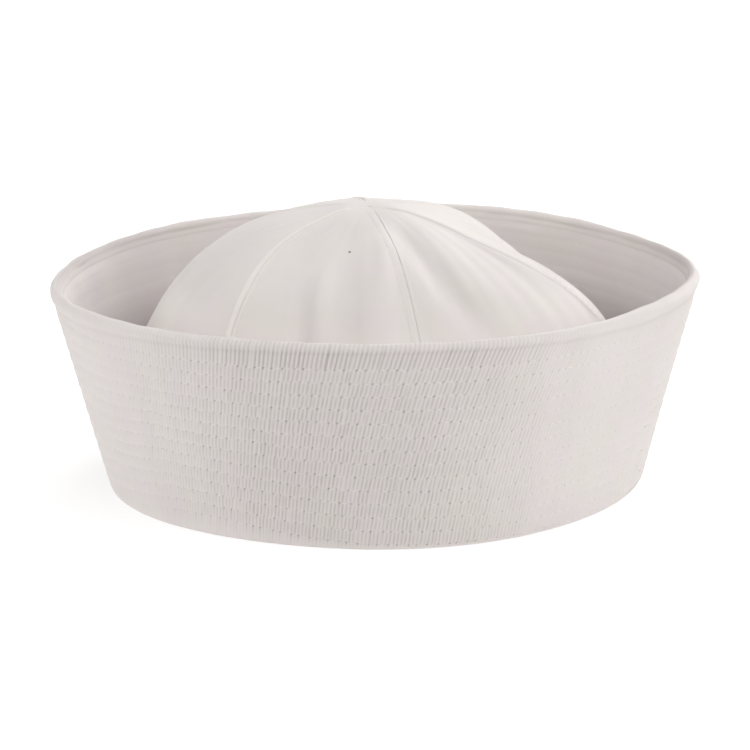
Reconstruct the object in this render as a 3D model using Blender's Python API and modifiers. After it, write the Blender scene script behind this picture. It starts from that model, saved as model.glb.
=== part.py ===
"""Sailor cap: a low crown of six gores inside a tall, stiff, upturned brim.

Metres, +Z up, the front of the cap at -Y. The origin is on the floor, in the middle of the foot.
A heading is an angle in degrees from the front, turning towards +X. A climb is the share of the way
up the crown, 0 at its foot and 1 at its apex.
"""

from collections import namedtuple
from math import acos, asin, atan2, cos, degrees, hypot, pi, radians, sin, tan

import bmesh
import bpy
from mathutils import Vector

# Driving sizes of the brim, over its outer face
FOOT_WIDTH = 0.1964
FOOT_DEPTH = 0.1883
RIM_WIDTH = 0.2371
RIM_DEPTH = 0.2057
BRIM_HEIGHT = 0.0757
HEM_DEPTH = 0.0025
FOOT_TURN_UP = 0.0070
FOOT_INNER_CORNER = 0.0001

# Driving sizes of the crown
CROWN_HEIGHT = 0.1010
CROWN_FOOT_LIFT = 0.0004
CROWN_LEAN_X = -0.0019
CROWN_LEAN_Y = 0.0023
CROWN_ROUNDNESS = 2.10
CROWN_FULLNESS = 2.64
APEX_HOLE = 0.0040
APEX_DIMPLE_DEPTH = 0.0008
APEX_DIMPLE_WIDTH = 0.0180

# Cloth, seams and clearance
OUTER_PLY = 0.0012
INNER_PLY = 0.0012
CROWN_CLOTH = 0.0012
SEAM_CLOTH = 0.0010
SEAM_WIDTH = 0.0042
PIECE_GAP = 0.0003
RIDGE_TILT = 0.30

# Mesh resolution, and the angle over which an edge is drawn sharp
WELD_DISTANCE = 0.00001
SHARP_ANGLE = 40
BRIM_COLUMNS = 64
WALL_ROWS = 3
CORNER_STEPS = 2
RIM_STEPS = 5
GORE_COLUMNS = 12
GORE_ROWS = 12
SEAM_ROWS = 14

# Gentle waves of the brim's two edges. A height wave is a share of the brim's height, and a
# radius wave a share of that edge's half width.
Wave = namedtuple("Wave", "edge order share peak_heading")
WAVES = (
    Wave("rim height", 1, 0.0080, 180.0),
    Wave("rim height", 2, 0.0160, 0.0),
    Wave("rim height", 3, 0.0037, 59.0),
    Wave("rim height", 4, 0.0041, 59.5),
    Wave("rim height", 5, 0.0050, 7.0),
    Wave("rim radius", 3, 0.0026, 8.7),
    Wave("rim radius", 4, 0.0074, 12.0),
    Wave("rim radius", 5, 0.0041, 25.4),
    Wave("foot radius", 3, 0.0082, 34.0),
    Wave("foot radius", 4, 0.0027, 23.3),
    Wave("foot radius", 5, 0.0053, 9.2),
)

# The crown's seams, from the left front round by the right. A seam swings aside, in degrees,
# towards its foot and towards the apex, and the gore that follows it sags between its two seams by
# a share of the crown's height.
Seam = namedtuple("Seam", "heading foot_swing apex_swing gore_sag")
FOOT_SWING_POWER = 2.0
APEX_SWING_POWER = 2.4
SEAMS = (
    Seam(-39.0, 0.0, -22.0, 0.020),
    Seam(12.3, 0.0, 0.0, 0.020),
    Seam(68.0, 22.0, 0.0, 0.040),
    Seam(131.0, 10.0, 0.0, 0.026),
    Seam(191.0, 0.0, 0.0, 0.020),
    Seam(251.0, 0.0, -6.0, 0.004),
)
BRIDGING_SEAM = 1

# Broad dents and swellings of the crown. Depth is inward, as a share of the crown's height.
Dent = namedtuple("Dent", "heading climb half_turn half_climb depth")
DENTS = (
    Dent(89.0, 0.57, 60.0, 0.45, 0.046),
    Dent(74.5, 0.35, 50.0, 0.40, -0.052),
    Dent(-110.0, 0.60, 70.0, 0.45, -0.009),
    Dent(-75.0, 0.86, 60.0, 0.30, 0.014),
    Dent(165.0, 0.55, 45.0, 0.40, 0.020),
)

# Folds of the crown's cloth, each from a low end to a high end. Half width is a share of the
# crown's half width, and depth, inward, a share of its height.
Fold = namedtuple("Fold", "low_heading low_climb high_heading high_climb half_width depth")
FOLDS = (
    Fold(-18.5, 0.28, -25.5, 0.68, 0.060, 0.014),
    Fold(-12.0, 0.32, -21.0, 0.70, 0.060, -0.008),
    Fold(-6.0, 0.25, -13.5, 0.86, 0.095, 0.017),
    Fold(2.5, 0.30, 5.5, 0.80, 0.060, -0.008),
    Fold(21.0, 0.34, 15.5, 0.78, 0.080, -0.010),
    Fold(32.0, 0.36, 19.0, 0.86, 0.090, 0.015),
    Fold(-70.0, 0.30, -78.0, 0.75, 0.110, 0.008),
    Fold(104.0, 0.28, 110.0, 0.80, 0.110, 0.012),
    Fold(158.0, 0.26, 152.0, 0.76, 0.100, 0.012),
    Fold(178.0, 0.24, 174.0, 0.70, 0.080, -0.008),
    Fold(214.0, 0.26, 222.0, 0.78, 0.100, 0.013),
    Fold(232.0, 0.30, 236.0, 0.68, 0.080, -0.007),
)

# Dents, folds and sag fade out below this climb, and inside this reach of the apex.
FOOT_CALM = 0.14
APEX_CALM = 0.24

# Sizes that follow from those above
FOLDED_WIDTH = 2 * OUTER_PLY + INNER_PLY + 2 * PIECE_GAP
RIM_RADIUS = FOLDED_WIDTH / 2
FOOT_CORNER = OUTER_PLY + FOOT_INNER_CORNER
CROWN_INSET = FOLDED_WIDTH + PIECE_GAP
GORE_EDGE_INSET = PIECE_GAP / 2 + CROWN_CLOTH * RIDGE_TILT
SEAM_FOOT_HEIGHT = FOOT_TURN_UP + PIECE_GAP


# Brim

def edge_wave(edge, heading):
    """Sum of one edge's waves at a heading, as a share."""
    rows = [wave for wave in WAVES if wave.edge == edge]
    return sum(row.share * cos(row.order * radians(heading - row.peak_heading)) for row in rows)


def compass(heading):
    """Level direction of a heading."""
    return Vector((sin(radians(heading)), -cos(radians(heading)), 0.0))


def oval(heading, width, depth, wave=0.0):
    """Point of a level oval, its radius changed by a share of the half width."""
    ahead = compass(heading)
    return Vector((ahead.x * width / 2, ahead.y * depth / 2, 0.0)) + ahead * (wave * width / 2)


def foot_point(heading):
    """Outer corner of the brim's foot."""
    return oval(heading, FOOT_WIDTH, FOOT_DEPTH, edge_wave("foot radius", heading))


def rim_point(heading):
    """Where the outer face would end if the rim were not rounded over."""
    point = oval(heading, RIM_WIDTH, RIM_DEPTH, edge_wave("rim radius", heading))
    point.z = BRIM_HEIGHT * (1 + edge_wave("rim height", heading))
    return point


def inward_step(heading, share=0.0):
    """Vector that moves a point one metre deep into the wall: level at the foot, square at the rim."""
    inward = -Vector((sin(radians(heading)) / FOOT_WIDTH, -cos(radians(heading)) / FOOT_DEPTH, 0.0))
    inward.normalize()
    wall = rim_point(heading) - foot_point(heading)
    flare = atan2(-wall.dot(inward), wall.z)
    return inward / cos(flare) + wall.normalized() * (tan(flare) * share)


def brim_point(heading, rise, depth):
    """Point of the brim's section: rise along the wall from the foot, depth in from its outer face."""
    foot = foot_point(heading)
    wall = rim_point(heading) - foot
    share = rise / wall.length
    return foot + wall * share + inward_step(heading, share) * depth


def arc(centre_rise, centre_depth, radius, start, end, steps):
    """Section points on an arc, with angles from the inward direction turning upward."""
    angles = [radians(start + (end - start) * step / steps) for step in range(steps + 1)]
    return [(centre_rise + radius * sin(a), centre_depth + radius * cos(a)) for a in angles]


def outer_ply_section(slant):
    """Section of the outer ply: turn-up inside the foot, foot, wall, rounded rim and hem.

    The hem's depth counts from the level where the rim's rounding starts.
    """
    inner_foot = arc(FOOT_CORNER, FOLDED_WIDTH - FOOT_CORNER, FOOT_CORNER, 0, -90, CORNER_STEPS)
    outer_foot = arc(FOOT_CORNER, FOOT_CORNER, FOOT_CORNER, -90, -180, CORNER_STEPS)
    wall_length = slant - FOOT_CORNER - RIM_RADIUS
    wall = [(FOOT_CORNER + wall_length * row / WALL_ROWS, 0.0) for row in range(1, WALL_ROWS)]
    rim = arc(slant - RIM_RADIUS, RIM_RADIUS, RIM_RADIUS, 180, 0, RIM_STEPS)
    turn_up = [(FOOT_TURN_UP, FOLDED_WIDTH)]
    hem = [(slant - RIM_RADIUS - HEM_DEPTH, FOLDED_WIDTH)]
    return turn_up + inner_foot + outer_foot + wall + rim + hem


def inner_ply_section(slant):
    """Section of the inner ply's outer face, from inside the foot's turn to inside the rim's."""
    low = OUTER_PLY + PIECE_GAP
    high = slant - RIM_RADIUS
    depth = OUTER_PLY + PIECE_GAP
    return [(low + (high - low) * row / WALL_ROWS, depth) for row in range(WALL_ROWS + 1)]


def section_surface(section):
    """Surface function of a section that runs round the whole brim."""
    def point(across, up):
        heading = 360.0 * across
        slant = (rim_point(heading) - foot_point(heading)).length
        places = section(slant)
        rise, depth = places[round(up * (len(places) - 1))]
        return brim_point(heading, rise, depth)
    return point


# Crown

def smooth(share):
    """Ease from 0 to 1."""
    share = min(max(share, 0.0), 1.0)
    return share * share * (3 - 2 * share)


def turn_between(start, end):
    """Signed smallest turn from one heading to another."""
    return (end - start + 180) % 360 - 180


def seam_heading(index, climb):
    """Heading of a seam at a climb."""
    seam = SEAMS[index % len(SEAMS)]
    foot_swing = seam.foot_swing * (1 - climb) ** FOOT_SWING_POWER
    return seam.heading + foot_swing + seam.apex_swing * climb ** APEX_SWING_POWER


def gore_sag(heading, climb):
    """How deep the gores hang between their seams."""
    for index, seam in enumerate(SEAMS):
        start = seam_heading(index, climb)
        width = (seam_heading(index + 1, climb) - start) % 360
        across = ((heading - start) % 360) / width
        if across <= 1:
            shape = 4 * across * (1 - across) * sin(pi * min(1.1 * climb, 1.0))
            return seam.gore_sag * CROWN_HEIGHT * shape
    return 0.0


def dent_depth(heading, climb):
    """Depth of the broad dents and swellings."""
    total = 0.0
    for dent in DENTS:
        turn = turn_between(dent.heading, heading) / dent.half_turn
        rise = (climb - dent.climb) / dent.half_climb
        away = min(hypot(turn, rise), 1.0)
        total += dent.depth * CROWN_HEIGHT * (1 - away ** 2) ** 2
    return total


def fold_depth(heading, climb, reach):
    """Depth of the cloth's folds, each faded out at its two ends."""
    total = 0.0
    for fold in FOLDS:
        along = (climb - fold.low_climb) / (fold.high_climb - fold.low_climb)
        if not 0 < along < 1:
            continue
        middle = fold.low_heading + (fold.high_heading - fold.low_heading) * along
        aside = reach * radians(turn_between(middle, heading)) / fold.half_width
        if abs(aside) < 1:
            total += fold.depth * CROWN_HEIGHT * (1 - aside ** 2) ** 2 * sin(pi * along)
    return total


def crown_climb_at(height):
    """Climb at which the plain crown reaches a height."""
    return asin((height / CROWN_HEIGHT) ** (CROWN_FULLNESS / 2)) * 2 / pi


def crown_point(heading, reach, lift=0.0):
    """Point of the crown's outer face, moved out by a lift.

    Reach is the share of the foot's radius at which the point stands, 0 at the apex.
    """
    reach = min(max(reach, 0.0), 1.0)
    tilt = acos(reach ** (CROWN_ROUNDNESS / 2))
    climb = tilt * 2 / pi
    ahead = compass(heading)
    foot = foot_point(heading) + inward_step(heading) * CROWN_INSET
    outward = Vector((ahead.x * cos(tilt), ahead.y * cos(tilt), sin(tilt)))
    depth = gore_sag(heading, climb) + dent_depth(heading, climb) + fold_depth(heading, climb, reach)
    depth *= smooth(climb / FOOT_CALM) * smooth(reach / APEX_CALM)
    dimple = max(0.0, 1 - (reach * foot.length / (APEX_DIMPLE_WIDTH / 2)) ** 2)
    depth += APEX_DIMPLE_DEPTH * dimple ** 2
    lean = Vector((CROWN_LEAN_X, CROWN_LEAN_Y, 0.0)) * climb
    height = CROWN_HEIGHT * sin(tilt) ** (2 / CROWN_FULLNESS)
    return foot * reach + lean + Vector((0, 0, height)) + outward * (lift - depth)


def reach_at(climb):
    """Reach of the plain crown at a climb."""
    return cos(climb * pi / 2) ** (2 / CROWN_ROUNDNESS)


def crown_radius(heading):
    """Radius of the crown's foot at a heading."""
    return (foot_point(heading) + inward_step(heading) * CROWN_INSET).length


def gore_surface(index):
    """Surface function of the gore that follows a seam."""
    low = crown_climb_at(CROWN_FOOT_LIFT)

    def point(across, up):
        start = seam_heading(index, 1.0)
        top_reach = APEX_HOLE / 2 / crown_radius(start)
        high = acos(top_reach ** (CROWN_ROUNDNESS / 2)) * 2 / pi
        climb = low + (high - low) * up
        reach = reach_at(climb)
        left = seam_heading(index, climb)
        right = left + (seam_heading(index + 1, climb) - left) % 360
        inset = degrees(GORE_EDGE_INSET / (reach * crown_radius(left)))
        heading = left + inset + (right - left - 2 * inset) * across
        return crown_point(heading, reach)
    return point


def seam_start_distance():
    """Distance from the apex at which neighbouring seam strips stay clear of each other."""
    turns = [(seam_heading(i + 1, 1.0) - seam_heading(i, 1.0)) % 360 for i in range(len(SEAMS))]
    narrowest = radians(min(turns))
    half = (SEAM_WIDTH + PIECE_GAP) / 2
    return half * (1 + cos(narrowest)) / sin(narrowest) + PIECE_GAP


def seam_surface(index):
    """Surface function of a seam strip, which lies just clear of its two gores."""
    lift = PIECE_GAP + SEAM_CLOTH
    opposite = (BRIDGING_SEAM + len(SEAMS) // 2) % len(SEAMS)
    past_apex = -(SEAM_WIDTH + PIECE_GAP) / 2
    ends = {BRIDGING_SEAM: past_apex, opposite: -past_apex + PIECE_GAP}
    end_distance = ends.get(index, seam_start_distance())
    low = crown_climb_at(SEAM_FOOT_HEIGHT)
    start = seam_heading(index, 1.0)
    end_reach = end_distance / crown_radius(start)

    def point(across, up):
        climb = low + (1.0 - low) * up
        share = reach_at(climb)
        reach = end_reach + (reach_at(low) - end_reach) * share / reach_at(low)
        climb = acos(min(abs(reach), 1.0) ** (CROWN_ROUNDNESS / 2)) * 2 / pi
        heading = seam_heading(index, climb if reach > 0 else 1.0)
        distance = reach * crown_radius(heading)
        aside = (across - 0.5) * SEAM_WIDTH
        turned = heading + degrees(atan2(aside, distance))
        if abs(distance) > crown_radius(heading) / 2:
            return crown_point(turned, abs(reach), lift)
        return crown_point(turned, hypot(aside, distance) / crown_radius(turned), lift)
    return point


# Solids

def surface_mesh(name, columns, rows, point, closed):
    """Mesh of an open surface whose outer side is its face side."""
    mesh = bpy.data.meshes.new(name)
    cage = bmesh.new()
    bmesh.ops.create_grid(cage, x_segments=columns, y_segments=rows, size=1.0)
    for vertex in cage.verts:
        vertex.co = point((vertex.co.x + 1) / 2, (vertex.co.y + 1) / 2)
    if closed:
        bmesh.ops.remove_doubles(cage, verts=cage.verts, dist=WELD_DISTANCE)
    cage.to_mesh(mesh)
    cage.free()
    mesh.shade_smooth()
    mesh.set_sharp_from_angle(angle=radians(SHARP_ANGLE))
    return mesh


def cloth_material(name, colour, roughness):
    """Plain cotton."""
    material = bpy.data.materials.new(name)
    material.use_nodes = True
    shader = material.node_tree.nodes["Principled BSDF"]
    shader.inputs["Base Color"].default_value = (*colour, 1.0)
    shader.inputs["Roughness"].default_value = roughness
    shader.inputs["Metallic"].default_value = 0.0
    return material


def cloth_piece(name, mesh, thickness, colour, parent, collection):
    """Object of one piece of cloth, thickened inward from its outer face."""
    piece = bpy.data.objects.new(name, mesh)
    piece.parent = parent
    collection.objects.link(piece)
    thicken = piece.modifiers.new("Cloth", "SOLIDIFY")
    thicken.thickness = thickness
    thicken.offset = -1.0
    thicken.use_even_offset = True
    piece.data.materials.append(cloth_material(name, colour, 0.9))
    return piece


def build_brim(parent, collection):
    """The two plies of the brim."""
    slant = (rim_point(0) - foot_point(0)).length
    plies = (
        ("brim_outer", outer_ply_section, OUTER_PLY, (0.62, 0.58, 0.56)),
        ("brim_inner", inner_ply_section, INNER_PLY, (0.60, 0.56, 0.54)),
    )
    for name, section, thickness, colour in plies:
        rows = len(section(slant)) - 1
        mesh = surface_mesh(name, BRIM_COLUMNS, rows, section_surface(section), closed=True)
        cloth_piece(name, mesh, thickness, colour, parent, collection)


def build_crown(parent, collection):
    """Six gores, and a raised strip over each seam."""
    for index in range(len(SEAMS)):
        name = f"crown_gore_{index + 1}"
        mesh = surface_mesh(name, GORE_COLUMNS, GORE_ROWS, gore_surface(index), closed=False)
        cloth_piece(name, mesh, CROWN_CLOTH, (0.75, 0.71, 0.69), parent, collection)
        name = f"crown_seam_{index + 1}"
        mesh = surface_mesh(name, 2, SEAM_ROWS, seam_surface(index), closed=False)
        cloth_piece(name, mesh, SEAM_CLOTH, (0.78, 0.74, 0.71), parent, collection)


def main():
    for old in list(bpy.data.objects):
        bpy.data.objects.remove(old)
    collection = bpy.data.collections.new("sailor_cap")
    bpy.context.scene.collection.children.link(collection)
    cap = bpy.data.objects.new("sailor_cap", None)
    collection.objects.link(cap)
    build_brim(cap, collection)
    build_crown(cap, collection)


main()
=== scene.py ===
"""Looks of the sailor cap: ribbed twill brim with its stitch rows, soft gored crown, floor and light.

Metres, +Z up, the front of the cap at -Y. A heading is an angle in degrees from the front, turning
towards +X. A rise is a length up the brim's slope from its foot, and a depth is a length in from its
outer face. A climb is the share of the way up the crown, and a reach is the share of its foot's radius.
"""

from collections import namedtuple
from math import cos, pi, radians, sin

import bmesh
import bpy
import numpy as np
from mathutils import Matrix, Vector


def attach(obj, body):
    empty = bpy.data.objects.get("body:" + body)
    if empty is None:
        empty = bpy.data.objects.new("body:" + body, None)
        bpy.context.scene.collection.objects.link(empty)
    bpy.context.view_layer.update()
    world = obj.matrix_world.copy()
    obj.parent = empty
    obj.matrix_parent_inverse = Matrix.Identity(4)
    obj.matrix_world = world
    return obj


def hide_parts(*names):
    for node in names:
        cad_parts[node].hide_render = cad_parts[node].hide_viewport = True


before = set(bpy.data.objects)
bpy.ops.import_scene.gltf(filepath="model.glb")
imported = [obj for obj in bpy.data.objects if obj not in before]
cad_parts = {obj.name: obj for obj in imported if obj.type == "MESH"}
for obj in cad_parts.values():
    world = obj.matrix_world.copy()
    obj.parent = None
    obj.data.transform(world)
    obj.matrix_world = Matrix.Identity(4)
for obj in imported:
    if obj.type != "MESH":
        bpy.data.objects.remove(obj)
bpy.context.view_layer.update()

MM = 0.001

# Brim, as in the CAD model
FOOT_WIDTH = 0.1964
FOOT_DEPTH = 0.1883
RIM_WIDTH = 0.2371
RIM_DEPTH = 0.2057
MEAN_RADIUS = (FOOT_WIDTH + RIM_WIDTH) / 4
BRIM_HEIGHT = 0.0757
PLY = 1.2 * MM
PIECE_GAP = 0.3 * MM
FOLDED_WIDTH = 3 * PLY + 2 * PIECE_GAP
RIM_RADIUS = FOLDED_WIDTH / 2
HEM_DEPTH = 2.5 * MM
FOOT_TURN_UP = 7.0 * MM
FOOT_CORNER = 1.3 * MM
CROWN_INSET = FOLDED_WIDTH + PIECE_GAP

Wave = namedtuple("Wave", "edge order share peak_heading")
WAVES = (
    Wave("rim height", 1, 0.0080, 180.0),
    Wave("rim height", 2, 0.0160, 0.0),
    Wave("rim height", 3, 0.0037, 59.0),
    Wave("rim height", 4, 0.0041, 59.5),
    Wave("rim height", 5, 0.0050, 7.0),
    Wave("rim radius", 3, 0.0026, 8.7),
    Wave("rim radius", 4, 0.0074, 12.0),
    Wave("rim radius", 5, 0.0041, 25.4),
    Wave("foot radius", 3, 0.0082, 34.0),
    Wave("foot radius", 4, 0.0027, 23.3),
    Wave("foot radius", 5, 0.0053, 9.2),
)

# Crown, as in the CAD model
CROWN_HEIGHT = 0.1010
CROWN_FOOT_LIFT = 0.4 * MM
CROWN_LEAN = np.array((-1.9 * MM, 2.3 * MM, 0.0))
CROWN_ROUNDNESS = 2.10
CROWN_FULLNESS = 2.64
APEX_DIMPLE_DEPTH = 0.8 * MM
APEX_DIMPLE_WIDTH = 18.0 * MM
FOOT_CALM = 0.14
APEX_CALM = 0.24
FOOT_SWING_POWER = 2.0
APEX_SWING_POWER = 2.4

Seam = namedtuple("Seam", "heading foot_swing apex_swing gore_sag")
SEAMS = (
    Seam(-39.0, 0.0, -22.0, 0.020),
    Seam(12.3, 0.0, 0.0, 0.020),
    Seam(68.0, 22.0, 0.0, 0.040),
    Seam(131.0, 10.0, 0.0, 0.026),
    Seam(191.0, 0.0, 0.0, 0.020),
    Seam(251.0, 0.0, -6.0, 0.004),
)

Dent = namedtuple("Dent", "heading climb half_turn half_climb depth")
DENTS = (
    Dent(89.0, 0.57, 60.0, 0.45, 0.046),
    Dent(74.5, 0.35, 50.0, 0.40, -0.052),
    Dent(-110.0, 0.60, 70.0, 0.45, -0.009),
    Dent(-75.0, 0.86, 60.0, 0.30, 0.014),
    Dent(165.0, 0.55, 45.0, 0.40, 0.020),
)

# The folds of the CAD model, and after them the finer creases that lie in them.
Fold = namedtuple("Fold", "low_heading low_climb high_heading high_climb half_width depth")
FOLDS = (
    Fold(-18.5, 0.28, -25.5, 0.68, 0.060, 0.014),
    Fold(-12.0, 0.32, -21.0, 0.70, 0.060, -0.008),
    Fold(-6.0, 0.25, -13.5, 0.86, 0.095, 0.017),
    Fold(2.5, 0.30, 5.5, 0.80, 0.060, -0.008),
    Fold(21.0, 0.34, 15.5, 0.78, 0.080, -0.010),
    Fold(32.0, 0.36, 19.0, 0.86, 0.090, 0.015),
    Fold(-70.0, 0.30, -78.0, 0.75, 0.110, 0.008),
    Fold(104.0, 0.28, 110.0, 0.80, 0.110, 0.012),
    Fold(158.0, 0.26, 152.0, 0.76, 0.100, 0.012),
    Fold(178.0, 0.24, 174.0, 0.70, 0.080, -0.008),
    Fold(214.0, 0.26, 222.0, 0.78, 0.100, 0.013),
    Fold(232.0, 0.30, 236.0, 0.68, 0.080, -0.007),
)
CREASES = (
    Fold(-18.0, 0.20, -24.5, 0.60, 0.050, 0.003),
    Fold(-5.0, 0.34, 12.5, 0.84, 0.070, -0.012),
    Fold(32.5, 0.36, 24.0, 1.00, 0.075, 0.006),
    Fold(90.0, 0.10, 98.0, 0.74, 0.420, -0.022),
)

# Soft shadows that lie in the folds, their last value a darkening. A negative one clears an edge.
SHADOWS = (
    Fold(-10.8, 0.14, -24.9, 0.66, 0.060, 0.08),
    Fold(-8.4, 0.28, 1.5, 0.97, 0.130, 0.06),
    Fold(9.0, 0.33, 13.0, 0.85, 0.060, -0.12),
    Fold(36.5, 0.34, 25.0, 1.08, 0.095, 0.10),
    Fold(67.0, 0.46, 60.0, 1.02, 0.044, 0.13),
    Fold(98.0, 0.12, 92.0, 0.72, 0.300, 0.07),
    Fold(-75.0, 0.42, -66.0, 1.08, 0.420, 0.060),
    Fold(-30.0, 0.50, -24.0, 1.16, 0.220, 0.060),
    Fold(158.0, 0.26, 152.0, 0.76, 0.100, 0.05),
    Fold(214.0, 0.26, 222.0, 0.78, 0.100, 0.05),
    Fold(104.0, 0.28, 110.0, 0.80, 0.110, 0.04),
)

# Stitching and ribs of the brim. Nominal drops and rises are those of a brim of the nominal slant.
STITCH_ROWS = 14
FIRST_ROW_DROP = 8.9 * MM
ROW_SPACING = 5.15 * MM
STITCH_LENGTH = 3.4 * MM
NOMINAL_SLANT = 77.5 * MM
ROW_WANDER = 0.30 * MM
SQUEEZE_HEADING = -38.0
SQUEEZE_TURN = 24.0
SQUEEZE_SHARE = 0.09
WALES = 470
COLUMNS_PER_WALE = 4
WALE_PROFILE = np.array((-1.0, 0.35, 0.55, 0.30))
# Painted shade at each column of a wale, deepest in the groove
GROOVE_SHADE_PROFILE = np.array((1.0, 0.20, 0.0, 0.32))
WALE_RISE = 0.15 * MM
WALE_LEAN = 12.3
WALE_LEAN_ASIDE = 1.55
WALE_BEND = 11.7
WALE_BEND_ASIDE = 18.4
PINCH_DEPTH = 0.16 * MM
PINCH_WIDTH = 0.75 * MM
HOLE_DEPTH = 0.42 * MM
# Painted shade in the needle holes, from the first value up to the sum of both
HOLE_SHADE = 0.45
HOLE_SHADE_SPREAD = 0.50
WALL_SWAY = 0.20 * MM
WALL_LIFT = 0.08 * MM
THREAD_RADIUS = 0.17 * MM

# Ribs and holes fade from the front to the sides. A front value is added to the side value.
FRONT_TURN = 35.0
FRONT_HEADING = -5.0
SIDE_RELIEF = 0.32
FRONT_RELIEF = 0.68
# Painted shade in the grooves, stronger at the front
SIDE_GROOVE_SHADE = 0.05
FRONT_GROOVE_SHADE = 0.20
SIDE_HOLE = 0.30
FRONT_HOLE = 0.70
BAND_STRENGTH = 1.25

# Rolled rim, and the crease and the hollow under it
ROLL_HEIGHT = 0.22 * MM
ROLL_EASE = 0.9 * MM
CREASE_DROP = 1.1 * MM
CREASE_DEPTH = 0.26 * MM
CREASE_WIDTH = 0.6 * MM
CREASE_SHADE = 0.09
CREASE_SHADE_WIDTH = 0.7 * MM
HOLLOW_DROP = 6.2 * MM
HOLLOW_DEPTH = 0.24 * MM
HOLLOW_WIDTH = 2.2 * MM

# Shadow over the rim's inner side at both ends
RimShade = namedtuple("RimShade", "heading turn darkness")
RIM_SHADES = (
    RimShade(101.0, 25.0, 0.32),
    RimShade(-106.0, 36.0, 0.24),
)

# Felled seams of the crown
SEAM_LEFT = 2.9 * MM
SEAM_RIGHT = 1.4 * MM
SEAM_HEIGHTS = (0.30 * MM, 0.03 * MM, 0.34 * MM, 0.26 * MM, 0.26 * MM, 0.06 * MM)
# Painted shade in each seam's crease, a share for each seam
SEAM_CREASE_SHADE = (0.5, 0.7, 1.0, 0.6, 0.6, 0.3)
SEAM_TAPER = 7.0 * MM
SEAM_LOW_CALM = (0.0, 0.0, 0.85, 0.0, 0.0, 0.0)
SEAM_STITCH_LENGTH = 2.6 * MM
SEAM_STITCH_START = 0.4 * MM
SEAM_STITCH_STOP = 14.0 * MM
SEAM_STITCH_SHARE = 0.78
SEAM_STITCH_LINES = ((-0.66, SEAM_LEFT), (0.60, SEAM_RIGHT))
SEAM_THREAD_RADIUS = 0.11 * MM

# Dark speck on the gore at the front
SPECK_HEADING = -11.0
SPECK_CLIMB = 0.735
SPECK_RADIUS = 0.62 * MM
SPECK_TONE = (0.12, 0.09, 0.07)

# Seeds. Those of rows, intervals, seams and gores are the first of a series.
HOLE_SHADE_SEED = 11
ROW_WANDER_SEED = 3
WALL_SWAY_SEED = 8
INNER_SWAY_SEED = 21
PUCKER_SEED = 40
SLACK_SEED = 60
HOLE_PLACE_SEED = 100
WALE_DRIFT_SEED = 300
WALE_STRENGTH_SEED = 500
THREAD_LIFT_SEED = 700
chance = np.random.RandomState(HOLE_SHADE_SEED)


# Shape of the brim

def unit(vectors):
    """Vectors brought to length one."""
    return vectors / np.linalg.norm(vectors, axis=-1, keepdims=True)


def bell(away, width):
    """One at nothing away, easing to nothing past about twice the width."""
    return np.exp(-(away / width) ** 2)


def edge_wave(edge, heading):
    """Sum of one edge's waves, as a share."""
    total = np.zeros_like(heading)
    for wave in WAVES:
        if wave.edge == edge:
            total = total + wave.share * np.cos(wave.order * np.radians(heading - wave.peak_heading))
    return total


def compass(heading):
    """Level direction of a heading."""
    turn = np.radians(heading)
    return np.stack([np.sin(turn), -np.cos(turn), np.zeros_like(turn)], -1)


def oval(heading, width, depth, wave):
    """Point of a level oval whose radius changes by a share of its half width."""
    ahead = compass(heading)
    return ahead * np.array((width / 2, depth / 2, 0.0)) + ahead * (wave * width / 2)[..., None]


def foot_point(heading):
    """Outer corner of the brim's foot."""
    return oval(heading, FOOT_WIDTH, FOOT_DEPTH, edge_wave("foot radius", heading))


def rim_point(heading):
    """Where the outer face would end if the rim were not rounded over."""
    point = oval(heading, RIM_WIDTH, RIM_DEPTH, edge_wave("rim radius", heading))
    point[..., 2] = BRIM_HEIGHT * (1 + edge_wave("rim height", heading))
    return point


def inward_step(heading, share):
    """Vector into the wall for one metre of depth: level at the foot, square at the rim."""
    inward = -unit(compass(heading) / np.array((FOOT_WIDTH, FOOT_DEPTH, 1.0)))
    wall = rim_point(heading) - foot_point(heading)
    flare = np.arctan2(-(wall * inward).sum(-1), wall[..., 2])
    return inward / np.cos(flare)[..., None] + unit(wall) * (np.tan(flare) * share)[..., None]


def slant_at(heading):
    """Length of the brim's slope."""
    return np.linalg.norm(rim_point(heading) - foot_point(heading), axis=-1)


def brim_point(heading, rise, depth):
    """Point of the brim at a heading, a rise and a depth."""
    foot = foot_point(heading)
    wall = rim_point(heading) - foot
    share = rise / np.linalg.norm(wall, axis=-1)
    return foot + wall * share[..., None] + inward_step(heading, share) * depth[..., None]


def sway(heading, share, orders, seed):
    """Smooth, seeded wandering between about -1 and 1, closed round the brim."""
    draw = np.random.RandomState(seed)
    total = np.zeros_like(heading * share)
    for order in orders:
        phase, tilt = draw.uniform(0, 2 * pi, 2)
        total = total + np.sin(order * np.radians(heading) + phase + 5.0 * share * np.sin(tilt))
    return total / np.sqrt(len(orders))


def wander(heading, share):
    """How far a stitch row strays up or down from its even place."""
    ends = np.clip(4 * share * (1 - share), 0, 1)
    return ROW_WANDER * ends * sway(heading, share, (3, 7, 11, 17, 29), ROW_WANDER_SEED)


def turn_between(start, end):
    """Signed smallest turn from one heading to another."""
    return (end - start + 180) % 360 - 180


def row_drop(row):
    """Nominal distance of a stitch row below the rim."""
    return FIRST_ROW_DROP + ROW_SPACING * row


def row_share(row):
    """Share of the slope at which a stitch row runs."""
    return 1 - row_drop(row) / NOMINAL_SLANT


def squeeze(heading, share):
    """How far the cloth is drawn up where the stitch rows stand closer, left of the front."""
    near = bell(turn_between(SQUEEZE_HEADING, heading), SQUEEZE_TURN)
    drop = np.maximum(NOMINAL_SLANT * (1 - share) - FIRST_ROW_DROP, 0.0)
    return SQUEEZE_SHARE * near * drop * np.clip(share / row_share(STITCH_ROWS - 1), 0, 1)


def wall_rise(heading, share, offset):
    """Rise of a station of the wall: a share of the slope and an offset."""
    return slant_at(heading) * share + offset + squeeze(heading, share) + wander(heading, share)


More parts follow.
